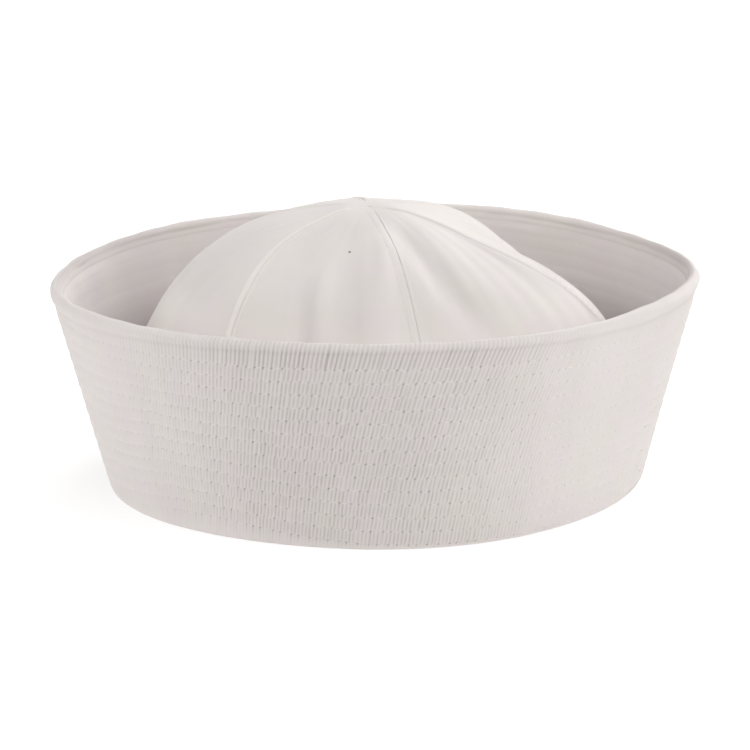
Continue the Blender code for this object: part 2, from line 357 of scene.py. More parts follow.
def wale_heading(column, rise, slant):
    """Heading of a wale at a rise. Wales lean to the right, more so the higher up and at the right."""
    aside = np.sin(np.radians(column))
    lean = np.radians(WALE_LEAN + WALE_LEAN_ASIDE * aside)
    bend = np.radians(WALE_BEND + WALE_BEND_ASIDE * aside)
    up = rise / slant - 0.5
    shift = slant * (np.tan(lean) * up + bend * up ** 2 / 2 / np.cos(lean) ** 2)
    return column + np.degrees(shift / (FOOT_WIDTH / 2 + (RIM_WIDTH - FOOT_WIDTH) / 2 * rise / slant))


# Mesh and object helpers

SHARP_ANGLE = radians(65.0)


def grid_mesh(name, points, cloth_uv, wrap_rows=False, wrap_columns=False):
    """Mesh of a grid of points. The cloth map has one more row or column where the grid wraps."""
    rows, columns = points.shape[:2]
    down = np.arange(rows if wrap_rows else rows - 1)[:, None]
    along = np.arange(columns if wrap_columns else columns - 1)[None, :]
    corners = ((0, 0), (0, 1), (1, 1), (1, 0))
    places = [((down + r) % rows) * columns + (along + c) % columns for r, c in corners]
    faces = np.stack(places, -1).reshape(-1, 4)
    mesh = new_mesh(name, points, faces)
    layer = mesh.uv_layers.new(name="cloth")
    spread = np.stack([cloth_uv[down + r, along + c] for r, c in corners], -2)
    layer.data.foreach_set("uv", spread.reshape(-1).astype(np.float32))
    mesh.set_sharp_from_angle(angle=SHARP_ANGLE)
    return mesh


def new_mesh(name, points, faces):
    """Mesh of an array of points and an array of faces."""
    mesh = bpy.data.meshes.new(name)
    mesh.from_pydata(points.reshape(-1, 3).tolist(), [], faces.tolist())
    mesh.shade_smooth()
    return mesh


def cloth_map(around, up):
    """Cloth map of a grid: a length along its rows and one up its columns."""
    return np.stack(np.broadcast_arrays(around[None, :], up[:, None]), -1)


def joined_mesh(name, points, faces):
    """Mesh of many small like shapes: points is (shapes, points, 3) and faces indexes one shape."""
    shapes, count = points.shape[:2]
    every = (faces[None] + (np.arange(shapes) * count)[:, None, None]).reshape(-1, 4)
    return new_mesh(name, points, every)


def shade_attribute(mesh, values):
    """Stores a value at each vertex, which the cloth's material reads as painted shade."""
    attribute = mesh.attributes.new("shade", "FLOAT", "POINT")
    attribute.data.foreach_set("value", values.reshape(-1).astype(np.float32))


def add_object(name, data):
    """New object in the scene."""
    thing = bpy.data.objects.new(name, data)
    bpy.context.scene.collection.objects.link(thing)
    return thing


def add_piece(name, mesh, material, replaces=()):
    """Object that rides on the cap's one body."""
    piece = add_object(name, mesh)
    mesh.materials.append(material)
    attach(piece, "root")
    if replaces:
        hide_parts(*replaces)
    return piece


def tube_faces(rings, sides):
    """Faces of a tube of rings of four sides, with closed ends, indexed within one tube."""
    ring = np.arange(rings - 1)[:, None] * sides
    side = np.arange(sides)[None, :]
    turned = (side + 1) % sides
    following = ring + sides
    walls = np.stack([ring + side, ring + turned, following + turned, following + side], -1)
    end = np.arange(sides)
    return np.vstack([walls.reshape(-1, 4), end[::-1], end + (rings - 1) * sides])


# Materials

def set_inputs(node, values):
    """Sets a node's named inputs."""
    for name, value in values.items():
        node.inputs[name].default_value = value


class Nodes:
    """Short way to write a material's node tree."""

    def __init__(self, material):
        material.use_nodes = True
        self.tree = material.node_tree
        self.shader = self.tree.nodes["Principled BSDF"]

    def add(self, kind, **settings):
        node = self.tree.nodes.new(kind)
        for key, value in settings.items():
            setattr(node, key, value)
        return node

    def link(self, source, target):
        self.tree.links.new(source, target)

    def feed(self, sockets, values):
        for socket, value in zip(sockets, values):
            if isinstance(value, bpy.types.NodeSocket):
                self.link(value, socket)
            elif value is not None:
                socket.default_value = value

    def math(self, operation, first, second=None):
        node = self.add("ShaderNodeMath", operation=operation)
        self.feed(node.inputs, (first, second))
        return node.outputs[0]

    def noise(self, vector, scale, detail, roughness=0.5):
        node = self.add("ShaderNodeTexNoise")
        self.link(vector, node.inputs["Vector"])
        set_inputs(node, {"Scale": scale, "Detail": detail, "Roughness": roughness})
        return node.outputs["Fac"]

    def blend(self, amount, first, second, mode="MIX"):
        node = self.add("ShaderNodeMix", data_type="RGBA", blend_type=mode)
        self.feed((node.inputs[0], node.inputs[6], node.inputs[7]), (amount, first, second))
        return node.outputs[2]

    def ramp(self, value, low, high):
        node = self.add("ShaderNodeMapRange", clamp=True)
        self.link(value, node.inputs["Value"])
        set_inputs(node, {"From Min": low, "From Max": high})
        return node.outputs["Result"]

    def bump(self, height, distance, strength, normal=None):
        node = self.add("ShaderNodeBump")
        set_inputs(node, {"Distance": distance, "Strength": strength})
        self.link(height, node.inputs["Height"])
        if normal:
            self.link(normal, node.inputs["Normal"])
        return node.outputs["Normal"]


def twill_height(nodes, yarns_per_mm):
    """Height of a fine twill: diagonal ribs broken by the yarns that cross them."""
    place = nodes.add("ShaderNodeUVMap", uv_map="cloth").outputs["UV"]
    parts = nodes.add("ShaderNodeSeparateXYZ")
    nodes.link(place, parts.inputs[0])
    turn = 2 * pi * yarns_per_mm / MM
    across = nodes.math("MULTIPLY", parts.outputs["X"], turn)
    up = nodes.math("MULTIPLY", parts.outputs["Y"], turn)
    rib = nodes.math("SINE", nodes.math("ADD", across, up))
    yarn = nodes.math("SINE", nodes.math("SUBTRACT", nodes.math("MULTIPLY", up, 1.9), across))
    return nodes.math("ADD", rib, nodes.math("MULTIPLY", yarn, 0.5))


def cotton(name, light, dark, weave, dark_shade=None, speck=None):
    """White cotton cloth, mottled, with a fine weave and a soft sheen, and painted shade where a dark
    tone is given.
    """
    material = bpy.data.materials.new(name)
    nodes = Nodes(material)
    place = nodes.add("ShaderNodeTexCoord").outputs["Object"]
    fine = nodes.noise(place, 900.0, 2.0)
    mottle = nodes.ramp(nodes.noise(place, 22.0, 3.0), 0.36, 0.66)
    colour = nodes.blend(mottle, (*dark, 1.0), (*light, 1.0))
    hue = nodes.ramp(nodes.noise(place, 60.0, 2.0), 0.38, 0.62)
    tint = nodes.blend(hue, (1.0, 0.985, 0.992, 1.0), (1.0, 1.0, 0.975, 1.0))
    colour = nodes.blend(1.0, colour, tint, "MULTIPLY")
    # The shade attribute blends the colour towards a dark tone: painted shade
    if dark_shade:
        shade = nodes.add("ShaderNodeAttribute", attribute_name="shade").outputs["Fac"]
        colour = nodes.blend(shade, colour, (*dark_shade, 1.0))
    if speck:
        colour = speck_colour(nodes, place, colour, *speck)
    nodes.link(colour, nodes.shader.inputs["Base Color"])
    rough = nodes.math("ADD", nodes.math("MULTIPLY", fine, 0.12), 0.82)
    nodes.link(rough, nodes.shader.inputs["Roughness"])
    set_inputs(nodes.shader, {"Specular IOR Level": 0.2, "Sheen Weight": 0.12, "Sheen Roughness": 0.6})
    coarse = nodes.bump(nodes.noise(place, 260.0, 4.0, 0.6), 0.12 * MM, 0.35)
    weave_normal = nodes.bump(twill_height(nodes, weave), 0.04 * MM, 0.5, coarse)
    nodes.link(weave_normal, nodes.shader.inputs["Normal"])
    return material


def speck_colour(nodes, place, colour, centre, radius, tone):
    """Darkens a small round speck of the cloth."""
    away = nodes.add("ShaderNodeVectorMath", operation="DISTANCE")
    nodes.link(place, away.inputs[0])
    away.inputs[1].default_value = centre
    edge = nodes.ramp(away.outputs["Value"], radius, radius * 0.45)
    return nodes.blend(edge, colour, (*tone, 1.0))


# Outer ply of the brim

# A station without an angle and ribs faces inward and is hidden or smooth.
Station = namedtuple("Station", "share offset depth angle ribs", defaults=(0.0, 0.0))
LAST_ROW_EDGE = 0.22 * MM
FOOT_TOP_LEAN = 0.24 * MM

# Drops of the band under the rim and of the hem, in millimetres, the hem's with how deep it lies
BAND_DROPS = (7.5, 6.3, 5.3, 4.5, 3.8, 3.2, 2.6)
HEM_STATIONS = ((2.5, -0.30), (3.1, -0.12), (3.9, -0.02))


def arc_stations(share, offset, depth, radius, start, end, steps, ribs):
    """Stations on an arc of the section, its angles turning from inward up to the rise."""
    rows = []
    for step in range(steps + 1):
        angle = radians(start + (end - start) * step / steps)
        place = (offset + radius * sin(angle), depth + radius * cos(angle))
        rows.append(Station(share, *place, angle, ribs[0] + (ribs[1] - ribs[0]) * step / steps))
    return rows


def row_shares(near, between):
    """Shares of the slope on and near each stitch row, and at some rises between the rows."""
    shares = []
    for row in reversed(range(STITCH_ROWS)):
        middle = row_share(row)
        if row < STITCH_ROWS - 1:
            shares.append(middle - near / NOMINAL_SLANT)
        shares += [middle, middle + near / NOMINAL_SLANT]
        if row:
            shares += [middle + gap / NOMINAL_SLANT for gap in between]
    return shares


def wall_stations():
    """Stations up the outer wall, closer together at each stitch row and below the rim."""
    shares = row_shares(0.42 * MM, (1.75 * MM, 3.45 * MM))
    wall = [Station(share, 0.0, 0.0, pi, 1.0) for share in shares]
    wall.insert(0, Station(shares[0], -LAST_ROW_EDGE, 0.0, pi, 1.0))
    return wall + [Station(1.0, -drop * MM, 0.0, pi, 1.0) for drop in BAND_DROPS]


def outer_stations():
    """Closed section of the outer ply, starting at the foot's outer corner."""
    inner_radius = RIM_RADIUS - PLY
    turned = FOLDED_WIDTH - FOOT_CORNER
    hem_low = -RIM_RADIUS - HEM_DEPTH
    rim = arc_stations(1.0, -RIM_RADIUS, RIM_RADIUS, RIM_RADIUS, 180, 0, 8, (0.8, 0.45))
    for step, deep in ((-2, -0.16), (-1, -0.42)):
        rim[step] = rim[step]._replace(depth=rim[step].depth + deep * MM)
    hem = [(-drop * MM, FOLDED_WIDTH + deep * MM) for drop, deep in HEM_STATIONS]
    return [
        *arc_stations(0.0, FOOT_CORNER, FOOT_CORNER, FOOT_CORNER, 270, 180, 3, (0.0, 0.35)),
        *wall_stations(),
        *rim,
        *[Station(1.0, offset, depth) for offset, depth in hem],
        Station(1.0, hem_low, FOLDED_WIDTH),
        Station(1.0, hem_low, FOLDED_WIDTH - PLY, -pi / 2, 0.0),
        *arc_stations(1.0, -RIM_RADIUS, RIM_RADIUS, inner_radius, 0, 180, 2, (0.0, 0.0)),
        Station(0.0, PLY, PLY),
        Station(0.0, PLY, turned),
        Station(0.0, FOOT_CORNER, FOLDED_WIDTH - PLY),
        Station(0.0, FOOT_TURN_UP, FOLDED_WIDTH - PLY),
        Station(0.0, FOOT_TURN_UP, FOLDED_WIDTH + FOOT_TOP_LEAN),
        *arc_stations(0.0, FOOT_CORNER, turned, FOOT_CORNER, 0, -90, 2, (0.0, 0.0)),
    ]


def smooth(share):
    """Ease from 0 to 1."""
    share = np.clip(share, 0, 1)
    return share * share * (3 - 2 * share)


def row_nearness(nominal, width):
    """One at a stitch row and nothing away from it."""
    total = np.zeros_like(nominal)
    for row in range(STITCH_ROWS):
        total = total + bell(nominal - row_drop(row), width)
    return total


def rim_roll_end(heading):
    """Drop at which the rolled rim ends, lower at the two sides than at the front."""
    return (1.6 + 2.6 * np.sin(np.radians(heading)) ** 2) * MM


def crease_shade(heading, drop):
    """Painted shade in the crease under the rolled rim, stronger at the two sides."""
    aside = 0.35 + 0.65 * np.sin(np.radians(heading)) ** 2
    return CREASE_SHADE * aside * bell(drop - rim_roll_end(heading) - CREASE_DROP, CREASE_SHADE_WIDTH)


def wall_swell(heading, drop, nominal):
    """Height of the outer face over the CAD wall, without the ribs."""
    roll_end = rim_roll_end(heading)
    roll = ROLL_HEIGHT * (1 - smooth((drop - roll_end) / ROLL_EASE))
    crease = -CREASE_DEPTH * bell(drop - roll_end - CREASE_DROP, CREASE_WIDTH)
    hollow = -HOLLOW_DEPTH * bell(drop - HOLLOW_DROP, HOLLOW_WIDTH)
    return WALL_LIFT + roll + crease + hollow - PINCH_DEPTH * row_nearness(nominal, PINCH_WIDTH)


def wale_pattern(columns):
    """Place within its wale of each column, and the wale's strength, for each interval between rows."""
    index = np.round(columns * WALES * COLUMNS_PER_WALE / 360.0).astype(int)
    places, strengths = [], []
    for interval in range(STITCH_ROWS + 1):
        seed = WALE_DRIFT_SEED + interval
        drift = np.round(0.7 * sway(columns, np.zeros_like(columns), (3, 7, 12, 20), seed))
        shifted = index - drift.astype(int)
        draw = np.random.RandomState(WALE_STRENGTH_SEED + interval)
        strength = draw.uniform(0.7, 1.2, WALES)
        places.append(shifted % COLUMNS_PER_WALE)
        strengths.append(strength[(shifted // COLUMNS_PER_WALE) % WALES])
    return np.array(places), np.array(strengths)


def hole_headings(row):
    """Headings of the needle holes of a stitch row."""
    draw = np.random.RandomState(HOLE_PLACE_SEED + row)
    share = row_share(row)
    width = FOOT_WIDTH + (RIM_WIDTH - FOOT_WIDTH) * share
    depth = FOOT_DEPTH + (RIM_DEPTH - FOOT_DEPTH) * share
    count = int(round(pi * (width + depth) / 2 / STITCH_LENGTH))
    step = 360.0 / count
    return -180 + draw.uniform(0, step) + step * (np.arange(count) + draw.uniform(-0.10, 0.10, count))


def nearest_groove(heading, places, hole):
    """Column of the groove next to a heading, or none if the heading lies outside the piece."""
    away = abs(turn_between(hole, heading))
    nearest = int(np.argmin(away))
    if away[nearest] > 0.2 or nearest < 3 or nearest > len(heading) - 4:
        return None
    for step in (0, 1, -1, 2):
        if places[nearest + step] == 0:
            return nearest + step
    return nearest


def pierce(relief, shade, line, column, dark):
    """Sinks a needle hole and paints shade into it and beside it."""
    relief[line, column] -= HOLE_DEPTH * dark
    shade[line, column] = max(shade[line, column], dark)
    for step, part in ((-1, 0.30), (1, 0.18)):
        shade[line, column + step] = max(shade[line, column + step], part * dark)
        shade[line + step, column] = max(shade[line + step, column], part * dark)


def outer_relief(columns, stations, heading, slant):
    """Relief of the outer ply, and the painted shade in its grooves, its needle holes and the crease
    under the rim.
    """
    share, offset, ribs = station_columns(stations, "share", "offset", "ribs")
    drop = slant * (1 - share) - offset
    nominal = NOMINAL_SLANT * (1 - share) - offset
    places, strengths = wale_pattern(columns)
    interval = np.floor((nominal[:, 0] - FIRST_ROW_DROP) / ROW_SPACING + 1.001)
    interval = np.clip(interval, 0, STITCH_ROWS).astype(int)
    place, strength = places[interval], strengths[interval]
    band = np.where((interval == 0)[:, None] & (drop > 2 * MM), BAND_STRENGTH, 1.0)
    calm = (1 - 0.6 * row_nearness(nominal, 0.5 * MM)) * ribs * strength * band
    front = np.exp(-(turn_between(FRONT_HEADING, heading) / FRONT_TURN) ** 4)
    relief = WALE_RISE * (SIDE_RELIEF + FRONT_RELIEF * front) * WALE_PROFILE[place] * calm
    shade = (SIDE_GROOVE_SHADE + FRONT_GROOVE_SHADE * front) * GROOVE_SHADE_PROFILE[place] * calm
    shade = shade + (ribs == 1) * crease_shade(heading, drop)
    shown = np.clip(ribs * 1.25, 0, 1)
    relief = relief + shown * wall_swell(heading, drop, nominal)
    swaying = sway(heading, share, (4, 9, 13, 22, 31, 44), WALL_SWAY_SEED)
    relief = relief + shown * WALL_SWAY * swaying
    for row in range(STITCH_ROWS):
        line = int(np.argmin(abs(nominal[:, 0] - row_drop(row)) + 1.0 * (ribs[:, 0] < 1)))
        for hole in hole_headings(row):
            dark = HOLE_SHADE + HOLE_SHADE_SPREAD * chance.uniform(0, 1)
            column = nearest_groove(heading[line], place[line], hole)
            if column is not None:
                fade = SIDE_HOLE + FRONT_HOLE * front[line, column]
                pierce(relief, shade, line, column, dark * fade)
    return relief, shade


def rim_shade(heading, angle, offset):
    """Shadow over the rim's inner side at both ends, where the hem's edge is lost in the dark."""
    turned = smooth((radians(125.0) - angle) / radians(60.0))
    turned = turned * (0.4 + 0.6 * smooth(angle / radians(50.0)))
    total = np.zeros_like(heading)
    for shadow in RIM_SHADES:
        near = bell(turn_between(shadow.heading, heading), shadow.turn)
        total = total + shadow.darkness * near * turned * (offset < 0)
    return total


def station_columns(stations, *names):
    """The named values of the stations, each as a column."""
    return [np.array([getattr(station, name) for station in stations])[:, None] for name in names]


def section_length(rise, depth, last):
    """Distance round a closed section at each station, and back at the first one."""
    steps = np.hypot(np.diff(rise), np.diff(depth))
    length = np.concatenate([[0.0], np.cumsum(steps)])
    return np.append(length, length[-1] + last)


def outer_half(name, start, end, material, replaces):
    """Half of the outer ply, from one wale to another."""
    stations = outer_stations()
    first = int(round(start * WALES / 360.0)) * COLUMNS_PER_WALE
    last = int(round(end * WALES / 360.0)) * COLUMNS_PER_WALE
    columns = np.arange(first, last + 1) * 360.0 / (WALES * COLUMNS_PER_WALE)
    share, offset, depth, angle, ribs = station_columns(stations, *Station._fields)
    middle = np.broadcast_to(columns[None, :], (len(stations), len(columns)))
    heading = middle
    for _ in range(4):
        slant = slant_at(heading)
        rise = np.where(ribs > 0, wall_rise(heading, share, offset), slant * share + offset)
        heading = wale_heading(middle, rise, slant)
    relief, shade = outer_relief(columns, stations, heading, slant)
    shade = shade + rim_shade(heading, angle, offset)
    points = brim_point(heading, rise + relief * np.sin(angle), depth + relief * np.cos(angle))
    points[..., 2] = np.maximum(points[..., 2], 0.0)
    length = section_length(rise[:, 0], depth[:, 0], FOOT_CORNER)
    around = np.radians(columns) * MEAN_RADIUS
    mesh = grid_mesh(name, points, cloth_map(around, length), wrap_rows=True)
    shade_attribute(mesh, shade)
    close_ends(mesh, len(stations), len(columns))
    return add_piece(name, mesh, material, replaces)


def close_ends(mesh, rows, columns):
    """Caps the two cut ends of a half ring."""
    cage = bmesh.new()
    cage.from_mesh(mesh)
    cage.verts.ensure_lookup_table()
    for column, order in ((0, 1), (columns - 1, -1)):
        loop = [cage.verts[row * columns + column] for row in range(rows)]
        cage.faces.new(loop[::order])
    cage.to_mesh(mesh)
    cage.free()


# Inner ply of the brim

INNER_COLUMNS = 840
# Painted shade on the inner ply, darker towards its foot deep in the trough
TROUGH_SHADE = 0.42
TROUGH_FLOOR = 28.0 * MM
TROUGH_HEIGHT = 38.0 * MM
HEM_EDGE = RIM_RADIUS + HEM_DEPTH
INNER_HIDDEN = PLY + PIECE_GAP
INNER_FACE = 2 * PLY + PIECE_GAP
INNER_SWELL = 1.38 * MM
INNER_SWELL_DROP = 15.0 * MM
INNER_SWAY = 0.14 * MM


def inner_stations():
    """Closed section of the inner ply: its inner face up, its hidden face down."""
    low = INNER_HIDDEN
    shares = row_shares(0.5 * MM, (ROW_SPACING / 2,))
    lip = HEM_EDGE + 0.02 * MM
    return [
        Station(0.0, low, INNER_FACE),
        *[Station(share, 0.0, INNER_FACE, 0.0, 1.0) for share in shares],
        *[Station(1.0, -drop * MM, INNER_FACE, 0.0, 1.0) for drop in (7.4, 6.3, 5.4, 4.95)],
        Station(1.0, -lip, INNER_FACE, 0.0, 1.0),
        Station(1.0, -lip, INNER_FACE),
        Station(1.0, -RIM_RADIUS, INNER_FACE),
        Station(1.0, -RIM_RADIUS, INNER_HIDDEN),
        Station(0.5, 0.0, INNER_HIDDEN),
        Station(0.0, low, INNER_HIDDEN),
    ]


def inner_swell(drop):
    """Height that brings the inner face up to the hem's face, and lets it fall away below."""
    return INNER_SWELL * (1 - smooth((drop - HEM_EDGE) / INNER_SWELL_DROP))


def build_inner_ply(material):
    """Inner ply, pinched along the same stitch rows and flush with the hem's edge, with painted shade
    towards its foot.
    """
    stations = inner_stations()
    columns = np.arange(INNER_COLUMNS) * 360.0 / INNER_COLUMNS - 180.0
    share, offset, depth, shown = station_columns(stations, "share", "offset", "depth", "ribs")
    heading = np.broadcast_to(columns[None, :], (len(stations), len(columns)))
    slant = slant_at(heading)
    nominal = NOMINAL_SLANT * (1 - share) - offset
    drop = slant * (1 - share) - offset
    rise = np.where(shown > 0, wall_rise(heading, share, offset), slant * share + offset)
    calm = smooth((drop - HEM_EDGE) / (3 * MM))
    relief = 0.06 * MM + INNER_SWAY * sway(heading, share, (3, 8, 14, 21, 37), INNER_SWAY_SEED)
    relief = relief - 0.10 * MM * row_nearness(nominal, 0.9 * MM)
    points = brim_point(heading, rise, depth + shown * (relief * calm + inner_swell(drop)))
    length = section_length(rise[:, 0], depth[:, 0], PLY)
    uv = cloth_map(np.radians(np.append(columns, 180.0)) * MEAN_RADIUS, length)
    mesh = grid_mesh("brim_inner_ply", points, uv, wrap_rows=True, wrap_columns=True)
    shade_attribute(mesh, TROUGH_SHADE * (1 - smooth((rise - TROUGH_FLOOR) / TROUGH_HEIGHT)))
    return add_piece("brim_inner_ply", mesh, material, ("brim_inner",))


# Threads

THREAD_RINGS = 5
THREAD_SIDES = 4
THREAD_END_SINK = 0.40 * MM

# The two stitched faces of the brim. A stitch lies between the low and the high lift, in millimetres.
StitchFace = namedtuple("StitchFace", "name side slot low high")
STITCH_FACES = (
    StitchFace("brim_stitches_outer", 1, "brim_twill", -0.31, -0.05),
    StitchFace("brim_stitches_inner", -1, "inner_twill", -0.36, -0.24),
)


def thread_tubes(name, starts, ends, outward, lifts, radius, material, slot):
    """Joined mesh of stitches, each an arc from its start to its end that dips into the cloth."""
    along = np.linspace(0, 1, THREAD_RINGS)
    bow = np.sin(pi * along) ** 0.6
    sink = lifts - THREAD_END_SINK
    height = sink[:, None] + (lifts - sink)[:, None] * bow[None, :]
    middle = starts[:, None] + (ends - starts)[:, None] * along[None, :, None]
    centre = middle + outward[:, None] * height[..., None]
    aside = unit(np.cross(outward, unit(ends - starts)))
    turn = np.arange(THREAD_SIDES) * 2 * pi / THREAD_SIDES + pi / 4
    ring = outward[:, None] * np.cos(turn)[None, :, None] + aside[:, None] * np.sin(turn)[None, :, None]
    thin = radius * (0.25 + 0.75 * bow)
    points = centre[:, :, None] + ring[:, None] * thin[None, :, None, None]
    points = points.reshape(len(starts), THREAD_RINGS * THREAD_SIDES, 3)
    mesh = joined_mesh(name, points, tube_faces(THREAD_RINGS, THREAD_SIDES))
    return add_piece(name, mesh, material)


def row_places(row, depth, side):
    """Start and end points and outward directions of the stitches of a row, on a face of the brim."""
    headings = hole_headings(row)
    if side < 0:
        headings = headings + 180.0 / len(headings)
    share = np.full_like(headings, row_share(row))
    rise = wall_rise(headings, share, 0.0)
    points = brim_point(headings, rise, depth)
    outward = -unit(inward_step(headings, share)) * side
    following = np.roll(points, -1, axis=0)
    step = (following - points) * 0.14
    return points + step, following - step, outward


def joined_groups(groups):
    """Starts, ends, directions and lifts of several groups of stitches, each joined to one array."""
    return [np.concatenate(part) for part in zip(*groups)]


def build_brim_stitches(material):
    """Thread of the stitch rows, on the outer and on the inner face of the brim."""
    for face in STITCH_FACES:
        groups = []
        for row in range(STITCH_ROWS):
            count = len(hole_headings(row))
            depth = INNER_FACE + inner_swell(row_drop(row)) if face.side < 0 else 0.0
            starts, ends, outward = row_places(row, np.full(count, depth), face.side)
            draw = np.random.RandomState(THREAD_LIFT_SEED + row)
            groups.append((starts, ends, outward, draw.uniform(face.low, face.high, count) * MM))
        thread_tubes(face.name, *joined_groups(groups), THREAD_RADIUS, material, face.slot)


# Crown

def seam_heading(index, climb):
    """Heading of a seam at a climb."""
    seam = SEAMS[index % len(SEAMS)]
    foot_swing = seam.foot_swing * (1 - climb) ** FOOT_SWING_POWER
    return seam.heading + foot_swing + seam.apex_swing * climb ** APEX_SWING_POWER


def gore_sag(heading, climb):
    """How deep the gores hang between their seams."""
    total = np.zeros_like(heading)
    for index, seam in enumerate(SEAMS):
        start = seam_heading(index, climb)
        width = (seam_heading(index + 1, climb) - start) % 360
        across = ((heading - start) % 360) / width
        shape = 4 * across * (1 - across) * np.sin(pi * np.minimum(1.1 * climb, 1.0))
        total = total + np.where(across <= 1, seam.gore_sag * CROWN_HEIGHT * shape, 0.0)
    return total


def dent_depth(heading, climb):
    """Depth of the broad dents and swellings."""
    total = np.zeros_like(heading)
    for dent in DENTS:
        turn = turn_between(dent.heading, heading) / dent.half_turn
        away = np.minimum(np.hypot(turn, (climb - dent.climb) / dent.half_climb), 1.0)
        total = total + dent.depth * CROWN_HEIGHT * (1 - away ** 2) ** 2
    return total


def fold_sum(folds, heading, climb, reach):
    """Sum of the last values of folds, each faded out at its sides and its two ends."""
    total = np.zeros_like(heading)
    for fold in folds:
        along = (climb - fold.low_climb) / (fold.high_climb - fold.low_climb)
        middle = fold.low_heading + (fold.high_heading - fold.low_heading) * along
        aside = reach * np.radians(turn_between(middle, heading)) / fold.half_width
        inside = (along > 0) & (along < 1) & (abs(aside) < 1)
        shape = (1 - aside ** 2) ** 2 * np.sin(pi * np.clip(along, 0, 1))
        total = total + np.where(inside, fold.depth * shape, 0.0)
    return total


def crown_radius(heading):
    """Radius of the crown's foot."""
    return np.linalg.norm(crown_foot(heading), axis=-1)


def crown_foot(heading):
    """Point of the crown's foot."""
    return foot_point(heading) + inward_step(heading, np.zeros_like(heading)) * CROWN_INSET


def crown_point(heading, reach, lift):
    """Point of the crown's outer face, moved out by a lift, and the outward direction there."""
    reach = np.clip(reach, 0, 1)
    tilt = np.arccos(reach ** (CROWN_ROUNDNESS / 2))
    climb = tilt * 2 / pi
    ahead = compass(heading)
    foot = crown_foot(heading)
    outward = ahead * np.cos(tilt)[..., None]
    outward[..., 2] = np.sin(tilt)
    depth = gore_sag(heading, climb) + dent_depth(heading, climb)
    depth = depth + CROWN_HEIGHT * fold_sum(FOLDS + CREASES, heading, climb, reach)
    depth = depth * smooth(climb / FOOT_CALM) * smooth(reach / APEX_CALM)
    radius = np.linalg.norm(foot, axis=-1)
    dimple = np.maximum(0.0, 1 - (reach * radius / (APEX_DIMPLE_WIDTH / 2)) ** 2)
    depth = depth + APEX_DIMPLE_DEPTH * dimple ** 2
    point = foot * reach[..., None] + CROWN_LEAN * climb[..., None] + outward * (lift - depth)[..., None]
    point[..., 2] += CROWN_HEIGHT * np.sin(tilt) ** (2 / CROWN_FULLNESS)
    return point, outward


def reach_at(climb):
    """Share of the foot's radius that the plain crown reaches at a climb."""
    return np.cos(climb * pi / 2) ** (2 / CROWN_ROUNDNESS)


def climb_at(reach):
    """Climb at which the plain crown has a reach."""
    return np.arccos(np.clip(reach, 0, 1) ** (CROWN_ROUNDNESS / 2)) * 2 / pi


def crown_shade(heading, reach):
    """Darkening of the crown's cloth by the shadows in its folds."""
    return np.maximum(fold_sum(SHADOWS, heading, climb_at(reach), reach), 0.0)


def climb_at_height(height):
    """Climb at which the plain crown reaches a height."""
    return np.arcsin((height / CROWN_HEIGHT) ** (CROWN_FULLNESS / 2)) * 2 / pi


GORE_COLUMNS = 76
GORE_ROWS = 90
SLACK_EDGE = 9.0 * MM
SLACK_FOOT = 0.12
FOOT_FLARE = 0.05 * MM
FOOT_LIP = 0.48 * MM
SLACK_SWAY = 0.20 * MM
TOP_CLIMB = 0.9995
ROW_CROWDING = 0.92
EDGE_CROWDING = 0.82
SLOPE_LENGTH = 1.55 * CROWN_HEIGHT


def pucker(along, aside, seed):
    """Small ripples of the cloth beside a seam, by distance along it and away from it."""
    draw = np.random.RandomState(seed)
    ripple = np.zeros_like(along)
    for wavelength in (4.3 * MM, 6.1 * MM, 9.7 * MM):
        ripple = ripple + np.sin(2 * pi * along / wavelength + draw.uniform(0, 2 * pi)) / 1.7
    groove = -0.30 * MM * np.exp(-aside / (0.5 * MM)) - 0.10 * MM * np.exp(-aside / (2.5 * MM))
    return 0.06 * MM * ripple * np.exp(-aside / (3.6 * MM)) + groove


def build_gore(index, material):
    """One gore, with puckers beside its seams and a little slackness."""
    low = climb_at_height(CROWN_FOOT_LIFT)
    up = np.linspace(0, 1, GORE_ROWS)[:, None]
    climb = low + (TOP_CLIMB - low) * up ** ROW_CROWDING
    ends = np.linspace(-1, 1, GORE_COLUMNS)[None, :]
    across = (1 + np.sin(ends * pi / 2 * EDGE_CROWDING) / sin(pi / 2 * EDGE_CROWDING)) / 2
    left = seam_heading(index, climb)
    width = (seam_heading(index + 1, climb) - left) % 360
    heading = left + width * across
    climb = np.broadcast_to(climb, heading.shape)
    reach = reach_at(climb)
    along = climb * SLOPE_LENGTH
    span = np.radians(width) * reach * crown_radius(left)
    from_left = span * across
    from_right = span * (1 - across)
    relief = pucker(along, from_left, PUCKER_SEED + index)
    relief = relief + pucker(along, from_right, PUCKER_SEED + index + 1)
    relief = relief * smooth((1 - climb) * 5) * np.clip(climb * 10, 0, 1)
    slack = SLACK_SWAY * sway(heading * 2, climb * 3, (5, 9, 14, 23), SLACK_SEED + index)
    slack = slack * smooth(reach * 1.6)
    slack = slack * smooth(from_left / SLACK_EDGE) * smooth(from_right / SLACK_EDGE)
    near_foot = 1 - smooth(climb / SLACK_FOOT)
    flare = np.where(up == 0, FOOT_LIP, FOOT_FLARE * near_foot)
    points, _ = crown_point(heading, reach, relief + slack * (1 - near_foot) + flare)
    uv = np.stack([span * (across - 0.5), along], -1)
    mesh = grid_mesh(f"gore_{index + 1}", points, uv)
    shade_attribute(mesh, crown_shade(heading, reach))
    piece = add_piece(f"gore_{index + 1}", mesh, material, (f"crown_gore_{index + 1}",))
    thicken = piece.modifiers.new("Cloth", "SOLIDIFY")
    thicken.thickness = PLY
    thicken.offset = -1.0


